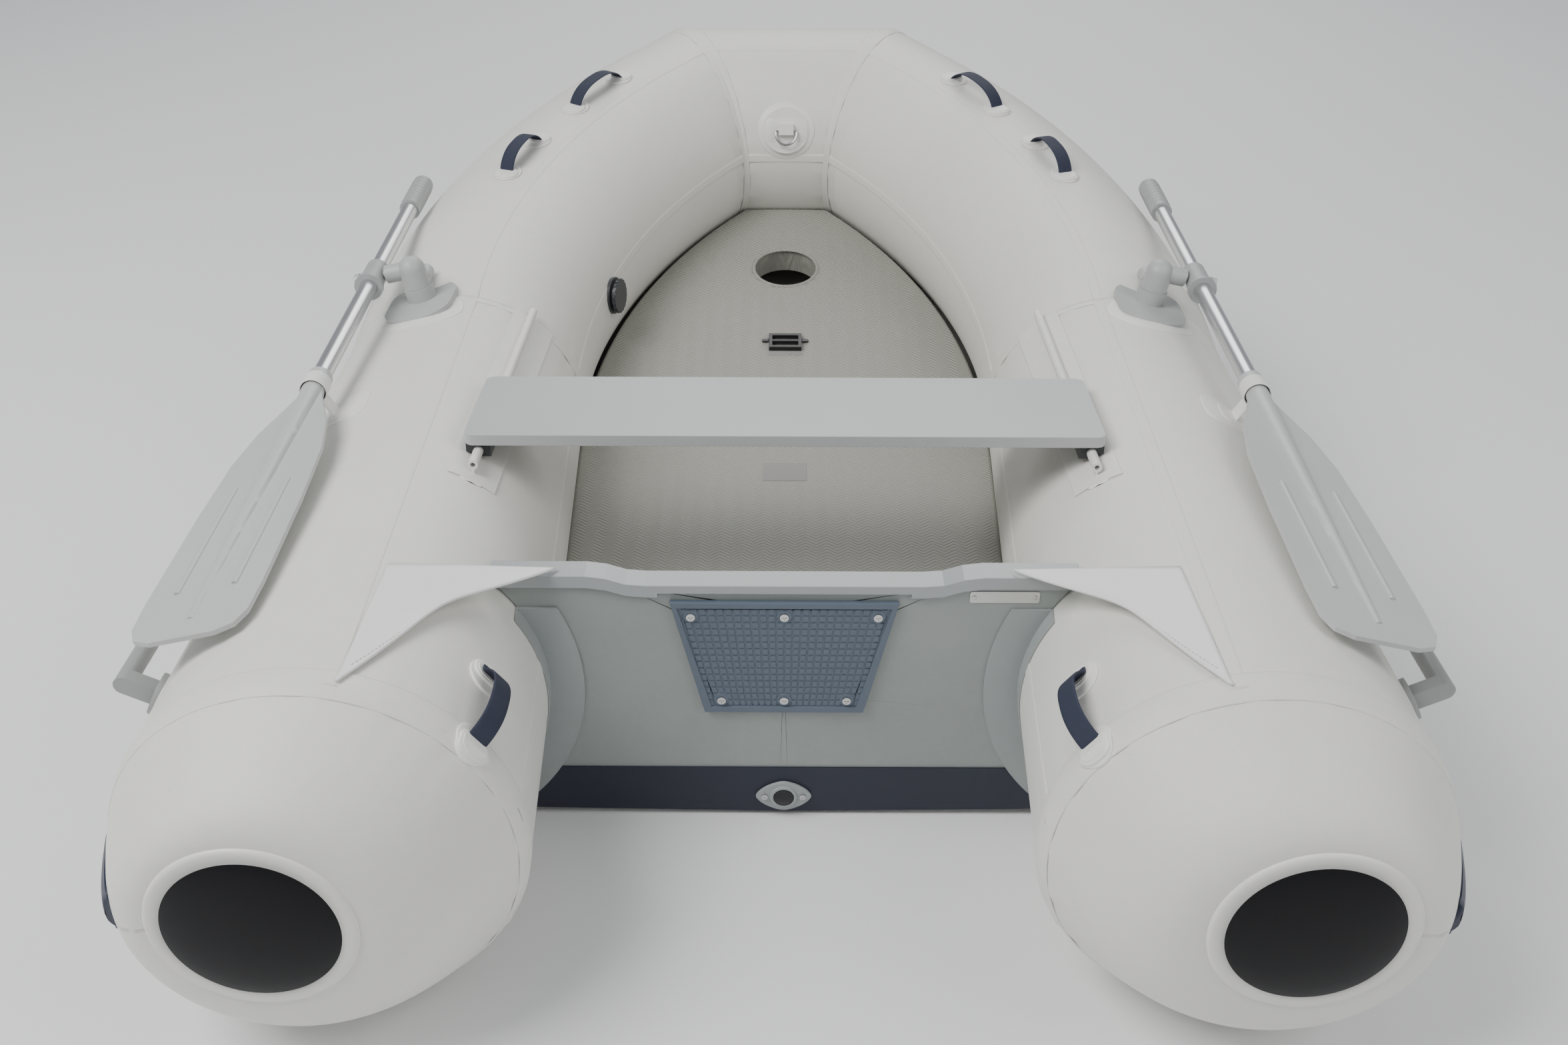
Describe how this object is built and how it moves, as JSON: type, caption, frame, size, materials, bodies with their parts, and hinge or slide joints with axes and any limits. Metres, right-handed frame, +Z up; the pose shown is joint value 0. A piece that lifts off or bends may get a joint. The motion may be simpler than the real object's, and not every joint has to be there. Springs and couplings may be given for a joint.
{
  "type": "inflatable dinghy",
  "caption": "Inflatable tender with upswept bow, air floor, painted transom, sliding bench seat and oars stowed along the tubes in swivelling rowlocks",
  "frame": {"origin": "on the ground under the middle of the bounding box", "axes": "+Y towards the bow, +X to starboard, +Z up"},
  "size_m": [1.583, 2.4397, 0.5908],
  "materials": {
    "hull_fabric": "coated, satin",
    "floor_fabric": "drop-stitch, embossed",
    "bottom_fabric": "coated",
    "cap_black": "satin",
    "strake_navy": "satin",
    "valve_white": "satin",
    "valve_grey": "satin",
    "buckle_black": "moulded",
    "webbing_grey": "woven",
    "board_paint": "painted plywood",
    "trim_grey": "gloss",
    "holder_grey": "satin",
    "strip_navy": "coated",
    "pad_slate": "moulded grid",
    "screw_steel": "stainless",
    "drain_grey": "moulded",
    "flap_rubber": "gloss",
    "plate_metal": "plate",
    "flap_fabric": "coated",
    "seat_paint": "painted plywood",
    "channel_grey": "moulded",
    "rail_fabric": "coated",
    "webbing_navy": "webbing",
    "patch_fabric": "coated",
    "carry_grey": "moulded",
    "ring_steel": "stainless",
    "stopper_clear": "translucent",
    "rowlock_grey": "moulded",
    "shaft_aluminium": "satin",
    "oar_grey": "moulded",
    "blade_grey": "moulded",
    "strap_fabric": "stitched",
    "rope_black": "braided"
  },
  "bodies": {
    "hull": {"tube_starboard": "hull_fabric", "tube_port": "hull_fabric", "cone_starboard": "hull_fabric", "cone_port": "hull_fabric", "quarter_starboard": "hull_fabric", "quarter_port": "hull_fabric", "bow_tube": "hull_fabric", "end_cap_starboard": "cap_black", "end_cap_port": "cap_black", "bulkheads": "hull_fabric", "rub_strakes": "strake_navy", "bow_strake": "strake_navy", "bottom_sheet": "bottom_fabric", "keel_tube": "hull_fabric", "air_floor": "floor_fabric", "keel_valve": "valve_white", "inflation_valve": "valve_grey", "floor_buckle": "buckle_black", "floor_strap": "webbing_grey", "transom_board": "board_paint", "transom_trim": "trim_grey", "transom_holders": "holder_grey", "transom_foot_strip": "strip_navy", "motor_pad": "pad_slate", "motor_pad_inner": "pad_slate", "transom_screws": "screw_steel", "drain_flange": "drain_grey", "id_plate": "plate_metal", "splash_flap_starboard": "flap_fabric", "splash_flap_port": "flap_fabric", "seat_rails": "rail_fabric", "bow_handles": "webbing_navy", "stern_handles": "webbing_navy", "handle_pads": "patch_fabric", "carry_handles": "carry_grey", "bow_ring_loop": "patch_fabric", "rowlock_base_starboard": "rowlock_grey", "rowlock_base_port": "rowlock_grey", "oar_strap_starboard": "strap_fabric", "oar_strap_port": "strap_fabric", "lifelines": "rope_black", "lifeline_eyes": "rowlock_grey"},
    "seat": {"seat_board": "seat_paint", "seat_channels": "channel_grey"},
    "rowlock_starboard": {"rowlock_swivel_starboard": "rowlock_grey", "rowlock_stoppers_starboard": "stopper_clear"},
    "oar_starboard": {"oar_shaft_starboard": "shaft_aluminium", "oar_collar_starboard": "oar_grey", "oar_grip_starboard": "oar_grey", "oar_blade_starboard": "blade_grey"},
    "rowlock_port": {"rowlock_swivel_port": "rowlock_grey", "rowlock_stoppers_port": "stopper_clear"},
    "oar_port": {"oar_shaft_port": "shaft_aluminium", "oar_collar_port": "oar_grey", "oar_grip_port": "oar_grey", "oar_blade_port": "blade_grey"},
    "ring": {"bow_ring": "ring_steel"},
    "inflation_cap": {"inflation_valve_cap": "valve_grey"},
    "keel_cap": {"keel_valve_cap": "valve_white"},
    "drain_door": {"drain_flap": "flap_rubber"}
  },
  "joints": [
    {"name": "seat_slide", "type": "slide", "parent": "hull", "child": "seat", "axis": [0, 0.9969, -0.0784], "range_m": [0, 0.22]},
    {"name": "swing_starboard", "type": "hinge", "parent": "hull", "child": "rowlock_starboard", "pos_m": [0.61531, 0.05869, 0.46278], "axis": [0.2249, 0.0264, 0.974], "range_deg": [0, 62], "deforming": ["oar_strap_starboard"]},
    {"name": "dip_starboard", "type": "hinge", "parent": "rowlock_starboard", "child": "oar_starboard", "pos_m": [0.67962, 0.05869, 0.44793], "axis": [0.9744, 0, -0.225], "range_deg": [0, 20]},
    {"name": "swing_port", "type": "hinge", "parent": "hull", "child": "rowlock_port", "pos_m": [-0.61531, 0.05869, 0.46278], "axis": [0.2249, -0.0264, -0.974], "range_deg": [0, 62], "deforming": ["oar_strap_port"]},
    {"name": "dip_port", "type": "hinge", "parent": "rowlock_port", "child": "oar_port", "pos_m": [-0.67962, 0.05869, 0.44793], "axis": [0.9744, 0, 0.225], "range_deg": [0, 20]},
    {"name": "ring_swing", "type": "hinge", "parent": "hull", "child": "ring", "pos_m": [0, 0.79847, 0.44619], "axis": [-1, 0, 0], "range_deg": [0, 100]},
    {"name": "inflation_cap_turn", "type": "hinge", "parent": "hull", "child": "inflation_cap", "pos_m": [-0.31151, 0.35655, 0.28144], "axis": [0.965, -0.2561, 0.0567], "range_deg": [0, 90]},
    {"name": "keel_cap_turn", "type": "hinge", "parent": "hull", "child": "keel_cap", "pos_m": [0, 0.62156, 0.12466], "axis": [0, -0.1908, 0.9816], "range_deg": [0, 90]},
    {"name": "drain_door_swing", "type": "hinge", "parent": "hull", "child": "drain_door", "pos_m": [0, -0.7451, 0.0496], "axis": [-1, 0, 0], "range_deg": [0, 60]}
  ],
  "couplings": [
    {"joint": "dip_starboard", "follows": "swing_starboard", "ratio": 0.32},
    {"joint": "dip_port", "follows": "swing_port", "ratio": 0.32}
  ]
}
